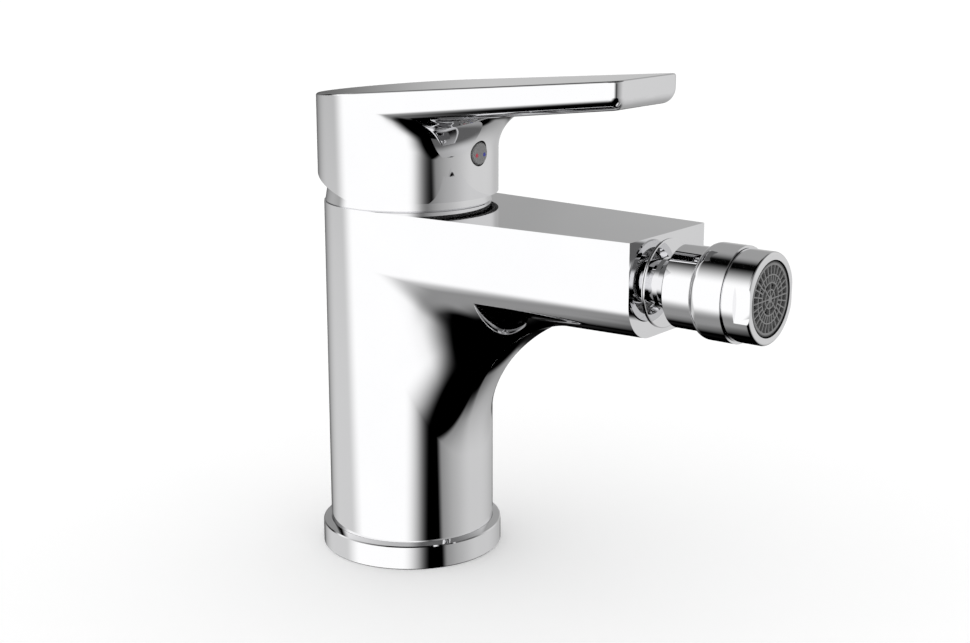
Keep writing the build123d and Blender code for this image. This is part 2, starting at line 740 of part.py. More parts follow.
def make_lever():
    """Lever: hollow cap with a tapered arm, a hub for the stem, ribs and the screw boss."""
    blend = ArmBlend(cap_radius, lever_tip, lever_half_width, lever_underside, lever_underside_angle,
                     lever_corner_radius, lever_blend_radius)
    slope = math.tan(math.radians(lever_top_angle))
    raw_top = lever_top + lever_tip * slope + overrun
    lever = blend.solid(cap_foot, raw_top)
    top_plane = Plane(origin=(0, 0, lever_top), x_dir=(1, 0, slope), z_dir=(-slope, 0, 1))
    lever = split(lever, top_plane, keep=Keep.BOTTOM)
    rear_slope = math.tan(math.radians(cap_rear_cut_angle))
    cut_plane = Plane(origin=(0, 0, cap_foot), x_dir=(1, 0, -rear_slope), z_dir=(rear_slope, 0, 1))
    lever = split(lever, cut_plane, keep=Keep.TOP)
    lever = fillet(tip_uprights(lever), lever_tip_corner)
    lever = fillet(lever.faces().sort_by(Axis.Z)[-1].edges(), lever_edge)
    inner_radius = cap_radius - cap_wall
    lever -= upright(0, 0, inner_radius, cap_foot - overrun, cap_ceiling)
    socket_half = stem_width / 2 + sliding_gap
    hub_half = socket_half + hub_wall
    lever += block((-hub_half, hub_half), (-hub_half, hub_half), (hub_foot, cap_ceiling))
    half_rib = rib_thickness / 2
    wall_middle = cap_radius - cap_wall / 2
    lever += block((-wall_middle, 0), (-half_rib, half_rib), (rib_foot, cap_ceiling))
    lever += block((-half_rib, half_rib), (-wall_middle, wall_middle), (rib_foot, cap_ceiling))
    lever += lengthwise(0, screw_height, screw_boss_radius, socket_half, wall_middle)
    socket_top = stem_top + sliding_gap
    lever -= block((-socket_half, socket_half), (-socket_half, socket_half), (hub_foot - overrun, socket_top))
    thread_end = socket_half + screw_length
    plug_back = plug_face_x - plug_length
    lever -= lengthwise(0, screw_height, screw_radius + running_gap, 0, thread_end)
    lever -= lengthwise(0, screw_height, screw_access_radius, thread_end, plug_back)
    lever -= lengthwise(0, screw_height, plug_radius + running_gap, plug_back, cap_radius + overrun)
    return lever


def tip_uprights(lever):
    """The two upright edges at the arm's tip."""
    edges = [edge for edge in lever.edges() if edge.geom_type == GeomType.LINE]
    level = lever_tip - running_gap
    return [edge for edge in edges if min((edge @ 0).X, (edge @ 1).X) > level and abs((edge % 0).Z) > 0.99]


def make_grub_screw():
    """Hexagon socket grub screw that clamps the stem."""
    start = stem_width / 2 + running_gap
    end = start + screw_length
    screw = lengthwise(0, screw_height, screw_radius, start, end)
    seat = Plane(origin=(end - screw_socket_depth, 0, screw_height), x_dir=(0, 1, 0), z_dir=(1, 0, 0))
    hexagon = RegularPolygon(screw_socket_across / 2, 6, major_radius=False)
    return screw - seat * extrude(hexagon, screw_socket_depth + overrun)


def make_indicator_plug():
    """Stepped round plug over the grub screw, with two blind holes for the colour marks."""
    plug = lengthwise(0, screw_height, plug_radius - plug_head_step, plug_face_x - plug_length, plug_face_x)
    plug = chamfer(plug.edges().sort_by(Axis.X)[-1], plug_edge)
    plug += lengthwise(0, screw_height, plug_radius, plug_face_x - plug_length, plug_face_x - plug_head_length)
    for side in (-1, 1):
        plug -= lengthwise(side * mark_spread, screw_height - mark_drop, mark_radius,
                           plug_face_x - mark_depth, plug_face_x + overrun)
    return plug


def make_mark(side):
    """Small round colour mark set in the plug."""
    return lengthwise(side * mark_spread, screw_height - mark_drop, mark_radius,
                      plug_face_x - mark_depth, plug_face_x + mark_proud)


def make_ball_stem():
    """Threaded tail, flange, neck and hollow ball that carry the swivelling outlet."""
    flange_front = spout_tip + flange_thickness
    step_front = flange_front + step_thickness
    tail_end = spout_tip - tail_length
    undercut_end = spout_tip + flange_undercut_length
    undercut_radius = flange_radius - flange_undercut_depth
    inner_edge = flange_radius - flange_edge
    shank = outlet_turned(
        (tail_end, 0), (tail_end, tail_radius), (spout_tip, tail_radius), (spout_tip, undercut_radius),
        (undercut_end, undercut_radius), (undercut_end, flange_radius),
        (flange_front - flange_edge, flange_radius), (flange_front, inner_edge), (flange_front, step_radius),
        (step_front, step_radius), (step_front, joint_neck_radius), (joint_ball_x, joint_neck_radius),
        (joint_ball_x, 0))
    ball = Pos(joint_ball_x, 0, outlet_height) * Sphere(joint_ball_radius)
    ball = split(ball, Plane.YZ.offset(joint_ball_x + joint_ball_flat), keep=Keep.BOTTOM)
    stem = shank + ball
    bore_end = joint_ball_x + joint_ball_radius
    return stem - lengthwise(0, outlet_height, tail_bore_radius, tail_end - overrun, bore_end)


def make_outlet_seal():
    """Seal ring under the flange."""
    start = spout_tip - outlet_seal_thickness
    return outlet_turned((start, outlet_seal_inner_radius), (spout_tip, outlet_seal_inner_radius),
                         (spout_tip, outlet_seal_outer_radius), (start, outlet_seal_outer_radius))


def make_seat_ring(start, end):
    """Plastic seat ring: a zone of a spherical shell round the ball."""
    inner = ball_zone(joint_ball_radius + seat_gap, start, end)
    outer = ball_zone(joint_ball_radius + seat_gap + seat_thickness, start, end)
    return outlet_profile(inner, Line(inner @ 1, outer @ 1), outer, Line(outer @ 0, inner @ 0))


def sphere_radius_at(x):
    """Radius of the seat cavity's sphere in the plane at x."""
    return math.sqrt(cavity_radius**2 - (x - joint_ball_x) ** 2)


def make_swivel_nut():
    """Rear half of the socket: it keeps the ball in and screws into the sleeve."""
    lip = ball_zone(cavity_radius, nut_lip_angle, 90)
    base = outlet_height
    shoulder = sleeve_rear_x - running_gap
    rest = Polyline(
        lip @ 1, (nut_front_x, base + cavity_radius), (nut_front_x, base + nut_tail_radius),
        (shoulder, base + nut_tail_radius), (shoulder, base + nut_radius),
        (nut_rear_x + nut_edge, base + nut_radius), (nut_rear_x, base + nut_radius - nut_edge),
        (nut_rear_x, base + nut_mouth_radius), lip @ 0)
    return outlet_profile(lip, *rest.edges())


def make_swivel_sleeve():
    """Front half of the socket, with the thread for the aerator."""
    base = outlet_height
    start = nut_front_x + running_gap
    start_turn = math.degrees(math.acos((joint_ball_x - start) / cavity_radius))
    end_turn = math.degrees(math.acos((joint_ball_x - sleeve_web_x) / cavity_radius))
    bowl = ball_zone(cavity_radius, start_turn, end_turn)
    thread = nut_tail_radius + running_gap
    shoulder_x = sleeve_rear_x + sleeve_shoulder_length
    front = Polyline(
        bowl @ 1, (sleeve_thread_x, base + sphere_radius_at(sleeve_web_x)),
        (sleeve_thread_x, base + sleeve_thread_radius), (sleeve_front_x, base + sleeve_thread_radius),
        (sleeve_front_x, base + sleeve_radius), (shoulder_x, base + sleeve_radius))
    shoulder = TangentArc((shoulder_x, base + sleeve_radius), (sleeve_rear_x, base + nut_radius),
                          tangent=(-1, 0))
    rear = Polyline((sleeve_rear_x, base + nut_radius), (sleeve_rear_x, base + thread),
                    (start, base + thread), bowl @ 0)
    return outlet_profile(bowl, *front.edges(), shoulder, *rear.edges())


def make_aerator_washer():
    """Washer between sleeve and aerator housing."""
    outer = sleeve_thread_radius - sliding_gap
    inner = outer - washer_width
    return outlet_turned((sleeve_thread_x, inner), (washer_end_x, inner),
                         (washer_end_x, outer), (sleeve_thread_x, outer))


def make_aerator_housing():
    """Threaded housing with a rounded rim and two wrench flats."""
    start = washer_end_x
    thread = sleeve_thread_radius - sliding_gap
    housing = outlet_turned(
        (start, aerator_seat_radius), (aerator_seat_x, aerator_seat_radius),
        (aerator_seat_x, aerator_bore_radius), (aerator_front_x, aerator_bore_radius),
        (aerator_front_x, aerator_radius), (aerator_rear_x, aerator_radius),
        (aerator_rear_x, thread), (start, thread))
    rim = housing.edges().filter_by(GeomType.CIRCLE).sort_by(Axis.X)[-2:]
    housing = fillet(rim.sort_by(SortBy.RADIUS)[-1], aerator_edge)
    flat = aerator_radius - wrench_depth
    flat_x = aerator_rear_x + wrench_flat_reach
    far = aerator_radius + overrun
    for side in (-1, 1):
        housing -= block((flat_x, aerator_front_x + overrun), sorted((side * flat, side * far)),
                         (outlet_height - far, outlet_height + far))
    return housing


def grid_ring(radius):
    """One ring of the aerator's grid."""
    half = grid_bar / 2
    back = insert_front_x - grid_thickness
    return outlet_turned((back, radius - half), (insert_front_x, radius - half),
                         (insert_front_x, radius + half), (back, radius + half))


def grid_spokes(count, inner, outer):
    """Radial bars of the aerator's grid between two radii."""
    half = grid_bar / 2
    bar = block((insert_front_x - grid_thickness, insert_front_x), (-half, half), (inner, outer))
    turn_step = 360 / count
    return [Pos(0, 0, outlet_height) * Rot(turn_step * k, 0, 0) * bar for k in range(count)]


def make_aerator_insert():
    """Plastic insert: a tube with a rear flange and a front grid of rings and spokes."""
    back = insert_front_x - grid_thickness
    bore = insert_bore_radius
    flange = aerator_bore_radius - sliding_gap
    flange_end = aerator_seat_x + insert_flange_thickness
    insert = outlet_turned(
        (aerator_seat_x, bore), (insert_front_x, bore), (insert_front_x, insert_radius),
        (flange_end, insert_radius), (flange_end, flange), (aerator_seat_x, flange))
    ring_radii = [insert_radius * share for share in grid_ring_shares]
    middle_ring = ring_radii[1]
    bars = grid_spokes(grid_inner_spokes, 0, middle_ring)
    bars += grid_spokes(grid_outer_spokes, middle_ring, bore + insert_wall / 2)
    rings = [grid_ring(radius) for radius in ring_radii]
    hub = lengthwise(0, outlet_height, grid_hub_radius, back, insert_front_x)
    return insert + rings + [hub] + bars


def make_flow_plate():
    """Perforated plate that splits the jet at the back of the insert."""
    end = aerator_seat_x + flow_plate_thickness
    plate = lengthwise(0, outlet_height, insert_bore_radius - running_gap, aerator_seat_x, end)
    turn_step = 2 * math.pi / flow_hole_count
    hole_circle = insert_bore_radius * flow_hole_circle_share
    for k in range(flow_hole_count):
        y = hole_circle * math.cos(turn_step * k)
        z = outlet_height + hole_circle * math.sin(turn_step * k)
        plate -= lengthwise(y, z, flow_hole_radius, aerator_seat_x - overrun, end + overrun)
    return plate


def make_aerator_screens():
    """Two fine screens in the insert, one behind the other."""
    radius = insert_bore_radius - running_gap
    start = aerator_seat_x + flow_plate_thickness
    discs = []
    for k in (1, 2):
        front = start + screen_spacing * k
        discs.append(lengthwise(0, outlet_height, radius, front - screen_thickness, front).solid())
    return Compound(children=discs)


def make_all():
    """Every piece by its name."""
    return {
        "body": make_body(),
        "base_ring": make_base_ring(),
        "base_gasket": make_base_gasket(),
        "dome_collar": make_dome_collar(),
        "cartridge_nut": make_cartridge_nut(),
        "cartridge_housing": make_cartridge_housing(),
        "cartridge_base": make_cartridge_base(),
        "port_seals": seal_rings(pocket_floor, port_seal_thickness),
        "disc_seals": seal_rings(plate_top - disc_seal_thickness, disc_seal_thickness),
        "fixed_disc": make_fixed_disc(),
        "moving_disc": make_moving_disc(),
        "disc_carrier": make_disc_carrier(),
        "cartridge_rotor": make_cartridge_rotor(),
        "rotor_seal": make_rotor_seal(),
        "stem": make_stem(),
        "stem_pin": cross_pin(pin_radius, pin_half_length),
        "lever": make_lever(),
        "grub_screw": make_grub_screw(),
        "indicator_plug": make_indicator_plug(),
        "hot_mark": make_mark(-1),
        "cold_mark": make_mark(1),
        "ball_stem": make_ball_stem(),
        "outlet_seal": make_outlet_seal(),
        "rear_seat_ring": make_seat_ring(rear_seat_start_angle, rear_seat_end_angle),
        "front_seat_ring": make_seat_ring(front_seat_start_angle, front_seat_end_angle),
        "swivel_nut": make_swivel_nut(),
        "swivel_sleeve": make_swivel_sleeve(),
        "aerator_washer": make_aerator_washer(),
        "aerator_housing": make_aerator_housing(),
        "aerator_insert": make_aerator_insert(),
        "flow_plate": make_flow_plate(),
        "aerator_screens": make_aerator_screens(),
    }


os.makedirs("parts", exist_ok=True)
for name, piece in make_all().items():
    export_step(piece, f"parts/{name}.step")
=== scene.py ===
import math
from collections import namedtuple

import bpy
import numpy as np
from mathutils import Matrix, Vector


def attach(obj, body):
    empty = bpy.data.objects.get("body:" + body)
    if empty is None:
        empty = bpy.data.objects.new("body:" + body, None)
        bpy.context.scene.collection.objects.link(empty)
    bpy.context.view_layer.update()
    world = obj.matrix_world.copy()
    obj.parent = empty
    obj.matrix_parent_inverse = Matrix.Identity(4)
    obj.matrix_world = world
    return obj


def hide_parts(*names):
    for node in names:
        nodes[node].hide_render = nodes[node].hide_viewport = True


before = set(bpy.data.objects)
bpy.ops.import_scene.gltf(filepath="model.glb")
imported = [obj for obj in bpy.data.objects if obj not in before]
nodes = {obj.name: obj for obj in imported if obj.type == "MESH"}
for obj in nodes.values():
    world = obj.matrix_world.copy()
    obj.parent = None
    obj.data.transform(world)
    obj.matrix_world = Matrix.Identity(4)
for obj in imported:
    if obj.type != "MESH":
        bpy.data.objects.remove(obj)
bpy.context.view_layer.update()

MM = 0.001

# The camera looks across the spout's near side, a little from above.
CAMERA_TURN = math.radians(37.956)
CAMERA_RISE = math.radians(13.901)
CAMERA_PLACE = Vector((288.29, -334.60, 174.81)) * MM
SENSOR_WIDTH = 36.0
PHOTO_WIDTH = 970
FOCAL_PIXELS = 1579.86

# Light levels, where 1 is white.
BACKGROUND_LEVEL = 0.99
DAYLIGHT_LEVEL = 1.05
SURROUND_LEVEL = 0.13
FLOOR_HALF = 4.0

# Soft boxes, walls and black flags of the studio, as they are mirrored by the chrome.
# Turns are degrees to the right of the camera seen from the object, rises are degrees above level,
# each edge fades over its blur to both sides, and a lean shifts a side by so much for a degree of rise.
Card = namedtuple("Card", "name left right left_blur right_blur low high low_blur high_blur level lean",
                  defaults=((0, 0),))
STUDIO_CARDS = (
    Card("left_shade", -185.8, -72.9, 1.1, 12.9, -36.8, 69.2, 3.4, 9.4, 0, (0.33, -0.39)),
    Card("left_wall", -152.5, -63.5, 32.3, 15.4, -58.9, 4, 22.1, 22.2, 0.67, (0.05, 0.26)),
    Card("right_haze", 38.7, 171.8, 20, 4.5, -34.6, 34, 24.3, 10, 0.46, (-0.31, 0.25)),
    Card("right_wall", 70.3, 150.2, 21, 31.7, -36.2, 34, 37.2, 10, 0.7, (-0.17, 0.25)),
    Card("soft_box", -98.2, 17.4, 11.4, 14.3, -54.3, 43.2, 28, 17.3, 1.12, (-0.74, -0.25)),
    Card("ceiling", -180, 180, 0, 0, 61.5, 90, 2, 0, 0),
    Card("back_panel", 145, 198.6, 12, 19.1, 7.5, 67.6, 7.8, 2.1, 0.36, (0, 0.2)),
    Card("back_glow", 142.4, 184.4, 10.2, 4.4, -15.5, 8.4, 4.7, 8.9, 0.55, (0.24, 0.13)),
    Card("tall_flag", 24.8, 28.1, 17.9, 3.9, -60, 70, 0, 0, 0, (0.81, -0.73)),
    Card("back_flag", 229.5, 196.5, 4, 17.3, -50, -17.7, 0, 4.9, 0, (2.02, -0.13)),
    Card("table_black", -180, 180, 0, 0, -90, -46.5, 0, 10.5, 0),
    Card("table_edge", -132.1, 16.8, 16.1, 9.7, -61.4, -42.2, 5.3, 9.5, 0.3, (0.06, 1.85)),
)

# Outside of the two castings in millimetres: a round column with a tapered arm, and a ball rolled along
# the corner between them.
Skin = namedtuple("Skin", "column tip half_width underside tilt corner ball top top_tilt tip_corner")
BODY_SKIN = Skin(23.75, 85.4, 17.7, 76.0, 0.0, 10.0, 45.0, 101.5, 0.0, 0.0)
LEVER_SKIN = Skin(25.33, 78.9, 14.4, 123.9, 6.2, 4.2, 11.8, 132.95, 5.0, 3.5)
LEVER_HOLLOW_RADIUS = 24.9
LEVER_HOLLOW_TOP = 126.1
OUTLET_HEIGHT = 88.6

# Painted shade of the gap round the aerator's insert: the insert darkens between these two distances from
# its axis, in millimetres.
INSERT_SHADE_RING = (8.75, 9.05)

# How near a corner lies to a surface that it belongs to, in millimetres, and how far their normals may
# differ. Corners of one ring round off to the same multiple of the ring step.
SKIN_TOLERANCE = 0.06
NORMAL_TOLERANCE = math.cos(math.radians(15))
RING_STEP = 0.02
SMALLEST_RING = 0.5
FACES_DOWN = -0.9

# Places along the outlet's axis before and after the flange is thinned, in millimetres.
FLANGE_BEFORE = (0.0, 85.4, 85.75, 86.5, 86.7, 87.3, 89.0, 120.0)
FLANGE_AFTER = (0.0, 85.4, 85.5, 85.75, 85.85, 86.5, 89.0, 120.0)

# Normals in one ring that differ by less than the gap belong to one face.
NORMAL_GAP = math.radians(16)
TINY_AREA = 1e-12
TINY_LENGTH = 1e-12

# Search for the ball's centre: first on a grid of turns, a block of points at a time, then refined.
GRID_TURNS = 400
BLOCK_POINTS = 4000
REFINE_ROUNDS = 6
TURN_STEP = 1e-3
LARGEST_SHIFT = 0.01
SMALLEST_BEND = 1e-9

# Most of a noise pattern lies between these two values.
NOISE_LOW = 0.3
NOISE_HIGH = 0.7
FINE_GRAIN = 0.25 * MM
GRAIN_DEPTH = 0.01 * MM
COARSE_DEPTH = 0.02 * MM
WIRE_PITCH = 0.5 * MM
WIRE_DEPTH = 0.1 * MM


class Tree:
    """Short calls for building one shader tree."""

    def __init__(self, owner):
        owner.use_nodes = True
        self.tree = owner.node_tree
        self.tree.nodes.clear()

    def node(self, kind, **settings):
        made = self.tree.nodes.new(kind)
        for key, value in settings.items():
            setattr(made, key, value)
        return made

    def put(self, source, socket):
        if isinstance(source, bpy.types.NodeSocket):
            self.tree.links.new(source, socket)
        else:
            socket.default_value = source

    def math(self, operation, *inputs):
        made = self.node("ShaderNodeMath", operation=operation)
        for socket, value in zip(made.inputs, inputs):
            self.put(value, socket)
        return made.outputs[0]

    def map_range(self, kind, *inputs):
        made = self.node("ShaderNodeMapRange", interpolation_type=kind)
        for socket, given in zip(made.inputs, inputs):
            self.put(given, socket)
        return made.outputs[0]

    def step(self, value, start, end, low=0.0, high=1.0):
        """A smooth change from low to high as value goes from start to end."""
        return self.map_range("SMOOTHSTEP", value, start, end, low, high)

    def span(self, value, start, end, low=0.0, high=1.0):
        """A straight change from low to high as value goes from start to end."""
        return self.map_range("LINEAR", value, start, end, low, high)

    def mix(self, share, first, second):
        made = self.node("ShaderNodeMix", data_type="FLOAT")
        for socket, given in zip(made.inputs[:1] + made.inputs[2:4], (share, first, second)):
            self.put(given, socket)
        return made.outputs[0]

    def mix_color(self, share, first, second):
        made = self.node("ShaderNodeMix", data_type="RGBA")
        self.put(share, made.inputs[0])
        self.put(first, made.inputs[6])
        self.put(second, made.inputs[7])
        return made.outputs[2]

    def noise(self, vector, size, detail=2.0, roughness=0.5):
        """Noise with blotches of about the given size in metres."""
        made = self.node("ShaderNodeTexNoise")
        self.put(vector, made.inputs["Vector"])
        made.inputs["Scale"].default_value = 1.0 / size
        made.inputs["Detail"].default_value = detail
        made.inputs["Roughness"].default_value = roughness
        return made.outputs["Fac"]


def card_mask(tree, card, turn, rise):
    """One where the card is, zero beside it, with the card's blur at its edges."""
    masks = []
    if card.right - card.left < 360:
        middle = 0.5 * (card.left + card.right)
        half = 0.5 * (card.right - card.left)
        offset = tree.math("WRAP", tree.math("SUBTRACT", turn, middle), 180, -180)
        left, right = offset, offset
        if any(card.lean):
            left, right = (tree.math("MULTIPLY_ADD", rise, -lean, offset) for lean in card.lean)
        masks.append(tree.step(left, -half - card.left_blur, -half + card.left_blur))
        masks.append(tree.step(right, half - card.right_blur, half + card.right_blur, 1, 0))
    if card.low > -90 and card.low_blur:
        masks.append(tree.step(rise, card.low - card.low_blur, card.low + card.low_blur))
    if card.high < 90 and card.high_blur:
        masks.append(tree.step(rise, card.high - card.high_blur, card.high + card.high_blur, 1, 0))
    mask = masks[0]
    for other in masks[1:]:
        mask = tree.math("MULTIPLY", mask, other)
    return mask


def make_studio():
    """Even daylight on everything, with the studio's cards in what the metal mirrors."""
    world = bpy.data.worlds.new("studio")
    bpy.context.scene.world = world
    tree = Tree(world)
    place = tree.node("ShaderNodeTexCoord")
    turned = tree.node("ShaderNodeVectorRotate", rotation_type="Z_AXIS")
    tree.put(place.outputs["Generated"], turned.inputs["Vector"])
    turned.inputs["Angle"].default_value = 0.5 * math.pi - CAMERA_TURN
    parts = tree.node("ShaderNodeSeparateXYZ")
    tree.put(turned.outputs[0], parts.inputs[0])
    across, along, above = parts.outputs
    turn = tree.math("DEGREES", tree.math("ARCTAN2", along, across))
    rise = tree.math("DEGREES", tree.math("ARCSINE", above))
    mirrored = SURROUND_LEVEL
    for card in STUDIO_CARDS:
        mirrored = tree.mix(card_mask(tree, card, turn, rise), mirrored, card.level)
    ray = tree.node("ShaderNodeLightPath")
    level = tree.mix(ray.outputs["Is Glossy Ray"], DAYLIGHT_LEVEL, mirrored)
    level = tree.mix(ray.outputs["Is Camera Ray"], level, BACKGROUND_LEVEL)
    back = tree.node("ShaderNodeBackground")
    back.inputs["Color"].default_value = (1, 1, 1, 1)
    tree.put(level, back.inputs["Strength"])
    out = tree.node("ShaderNodeOutputWorld")
    tree.put(back.outputs[0], out.inputs[0])


def make_camera():
    """The camera stands where the photographer stood."""
    data = bpy.data.cameras.new("camera")
    data.sensor_width = SENSOR_WIDTH
    data.lens = FOCAL_PIXELS * SENSOR_WIDTH / PHOTO_WIDTH
    camera = bpy.data.objects.new("camera", data)
    bpy.context.scene.collection.objects.link(camera)
    level = math.cos(CAMERA_RISE)
    back = Vector((math.sin(CAMERA_TURN) * level, -math.cos(CAMERA_TURN) * level, math.sin(CAMERA_RISE)))
    right = Vector((math.cos(CAMERA_TURN), math.sin(CAMERA_TURN), 0))
    camera.matrix_world = Matrix((right, back.cross(right), back)).transposed().to_4x4()
    camera.location = CAMERA_PLACE
    bpy.context.scene.camera = camera


def make_floor():
    """A pale floor that takes the object's soft shadow."""
    mesh = bpy.data.meshes.new("floor")
    corners = [(x * FLOOR_HALF, y * FLOOR_HALF, 0) for x, y in ((-1, -1), (1, -1), (1, 1), (-1, 1))]
    mesh.from_pydata(corners, [], [(0, 1, 2, 3)])
    floor = bpy.data.objects.new("floor", mesh)
    bpy.context.scene.collection.objects.link(floor)
    floor.visible_glossy = False
    material = bpy.data.materials.new("pale_floor")
    tree = Tree(material)
    shade = tree.node("ShaderNodeBsdfDiffuse")
    shade.inputs["Color"].default_value = (BACKGROUND_LEVEL, BACKGROUND_LEVEL, BACKGROUND_LEVEL, 1)
    out = tree.node("ShaderNodeOutputMaterial")
    tree.put(shade.outputs[0], out.inputs[0])
    mesh.materials.append(material)


def principled(name, **uniform):
    """A material with one principled shader, and the place on the piece to work out its detail from."""
    material = bpy.data.materials.new(name)
    tree = Tree(material)
    shade = tree.node("ShaderNodeBsdfPrincipled")
    for socket, value in uniform.items():
        shade.inputs[socket.replace("_", " ").title().replace("Ior", "IOR")].default_value = value
    out = tree.node("ShaderNodeOutputMaterial")
    tree.put(shade.outputs[0], out.inputs[0])
    place = tree.node("ShaderNodeTexCoord").outputs["Object"]
    return material, tree, shade, place


def bump(tree, shade, height, depth, strength=1.0):
    made = tree.node("ShaderNodeBump")
    made.inputs["Strength"].default_value = strength
    made.inputs["Distance"].default_value = depth
    tree.put(height, made.inputs["Height"])
    tree.put(made.outputs[0], shade.inputs["Normal"])


def grey(level, blue=0.0):
    return (level, level, level * (1 + blue), 1)


def tint(tree, shade, pattern, dark, light):
    """Base colour from dark to light along the pattern."""
    tree.put(tree.mix_color(pattern, dark, light), shade.inputs["Base Color"])


def roughen(tree, shade, pattern, smooth, rough):
    """Roughness from smooth to rough along a noise pattern."""
    tree.put(tree.span(pattern, NOISE_LOW, NOISE_HIGH, smooth, rough), shade.inputs["Roughness"])


def chrome(name):
    """Polished chrome: a bright, faintly uneven mirror."""
    material, tree, shade, place = principled(name, metallic=1.0)
    cloud = tree.noise(place, 14 * MM, detail=3)
    polish = tree.noise(place, 0.5 * MM, detail=2)
    tint(tree, shade, cloud, grey(0.87, 0.012), grey(0.9, 0.008))
    roughen(tree, shade, tree.mix(0.4, cloud, polish), 0.012, 0.04)
    return material


def moulded_plastic(name, dark, light, rough=0.45):
    """Moulded plastic with a fine eroded grain and faint cloudiness."""
    material, tree, shade, place = principled(name)
    cloud = tree.noise(place, 3 * MM, detail=4)
    fine = tree.noise(place, FINE_GRAIN, detail=2)
    tint(tree, shade, cloud, dark, light)
    roughen(tree, shade, fine, rough - 0.08, rough + 0.08)
    bump(tree, shade, fine, GRAIN_DEPTH, 0.6)
    return material


def insert_plastic(name):
    """Grey moulded plastic of the aerator's insert, with a ring of painted shade at its outer edge, where
    it sits in the bore.
    """
    material, tree, shade, place = principled(name)
    parts = tree.node("ShaderNodeSeparateXYZ")
    tree.put(place, parts.inputs[0])
    above = tree.math("SUBTRACT", parts.outputs[2], OUTLET_HEIGHT * MM)
    across = tree.math("MULTIPLY", parts.outputs[1], parts.outputs[1])
    radius = tree.math("SQRT", tree.math("MULTIPLY_ADD", above, above, across))
    # painted shade: a near-black ring at the insert's outer edge stands in for the shadow of its gap
    edge = tree.step(radius, INSERT_SHADE_RING[0] * MM, INSERT_SHADE_RING[1] * MM)
    cloud = tree.noise(place, 2 * MM, detail=4)
    plain = tree.mix_color(cloud, grey(0.15), grey(0.2))
    tint(tree, shade, edge, plain, grey(0.012))
    roughen(tree, shade, cloud, 0.32, 0.48)
    bump(tree, shade, tree.noise(place, FINE_GRAIN), GRAIN_DEPTH, 0.6)
    return material


def rubber(name):
    """Black rubber with a matt, speckled skin."""
    material, tree, shade, place = principled(name)
    fine = tree.noise(place, 0.3 * MM, detail=4)
    tint(tree, shade, fine, grey(0.012), grey(0.03))
    roughen(tree, shade, fine, 0.55, 0.8)
    bump(tree, shade, fine, COARSE_DEPTH)
    return material


def turned_metal(name, dark, light, axis_stretch):
    """Machined metal with fine tool marks running round the piece."""
    material, tree, shade, place = principled(name, metallic=1.0)
    stretch = tree.node("ShaderNodeMapping")
    tree.put(place, stretch.inputs["Vector"])
    stretch.inputs["Scale"].default_value = axis_stretch
    marks = tree.noise(stretch.outputs[0], 0.4 * MM, detail=3)
    cloud = tree.noise(place, 5 * MM, detail=3)
    tint(tree, shade, cloud, dark, light)
    roughen(tree, shade, marks, 0.2, 0.38)
    bump(tree, shade, marks, GRAIN_DEPTH, 0.5)
    return material


def ceramic(name):
    """Lapped ceramic: dense, off-white and faintly speckled."""
    material, tree, shade, place = principled(name)
    speck = tree.noise(place, 0.6 * MM, detail=5)
    tint(tree, shade, speck, (0.8, 0.78, 0.72, 1), (0.88, 0.87, 0.82, 1))
    roughen(tree, shade, speck, 0.12, 0.25)
    return material


def enamel(name, dark, light):
    """A filled dot of coloured enamel, a little uneven."""
    material, tree, shade, place = principled(name)
    cloud = tree.noise(place, 0.4 * MM, detail=3)
    tint(tree, shade, cloud, dark, light)
    roughen(tree, shade, cloud, 0.2, 0.4)
    return material


def wire_mesh(name):
    """Woven stainless wire, seen as crossing threads."""
    material, tree, shade, place = principled(name, metallic=1.0)
    parts = tree.node("ShaderNodeSeparateXYZ")
    tree.put(place, parts.inputs[0])
    threads = []
    for axis in (1, 2):
        phase = tree.math("MULTIPLY", parts.outputs[axis], 2 * math.pi / WIRE_PITCH)
        threads.append(tree.span(tree.math("SINE", phase), 0.0, 0.7))
    weave = tree.math("MAXIMUM", *threads)
    tint(tree, shade, weave, grey(0.01), grey(0.35))
    tree.put(tree.mix(weave, 0.9, 0.35), shade.inputs["Roughness"])
    bump(tree, shade, weave, WIRE_DEPTH)
    return material


def hollow_shade_casting(name):
    """Unpolished casting with a sandy skin, coloured near-black as painted shade of the lever's hollow and
    of the recess at its cap's foot.
    """
    material, tree, shade, place = principled(name)
    sand = tree.noise(place, 0.5 * MM, detail=4)
    # painted shade: near-black colour for the hollow and the recess under the cap
    tint(tree, shade, sand, grey(0.015), grey(0.035))
    roughen(tree, shade, sand, 0.5, 0.7)
    bump(tree, shade, sand, COARSE_DEPTH)
    return material


def dress(material, *names):
    """Gives the named construction pieces their material."""
    for name in names:
        data = nodes[name].data
        data.materials.clear()
        data.materials.append(material)


Corners = namedtuple("Corners", "points normals face_normals face_areas")


def read(items, field, kind, width=1):
    """One field of every item of a mesh as an array."""
    values = np.empty(width * len(items), dtype=kind)
    items.foreach_get(field, values)
    return values.reshape(-1, width) if width > 1 else values


def corners_of(data):
    """Place in millimetres, shading normal, face normal and face area of every face corner."""
    index = read(data.loops, "vertex_index", np.int32)
    points = read(data.vertices, "co", np.float32, 3).astype(float)[index] / MM
    normals = read(data.corner_normals, "vector", np.float32, 3).astype(float)
    sizes = read(data.polygons, "loop_total", np.int32)
    face_normals = np.repeat(read(data.polygons, "normal", np.float32, 3).astype(float), sizes, axis=0)
    face_areas = np.repeat(read(data.polygons, "area", np.float32).astype(float), sizes)
    return Corners(points, normals, face_normals, face_areas)


def unit(vectors):
    return vectors / np.maximum(np.linalg.norm(vectors, axis=-1, keepdims=True), TINY_LENGTH)


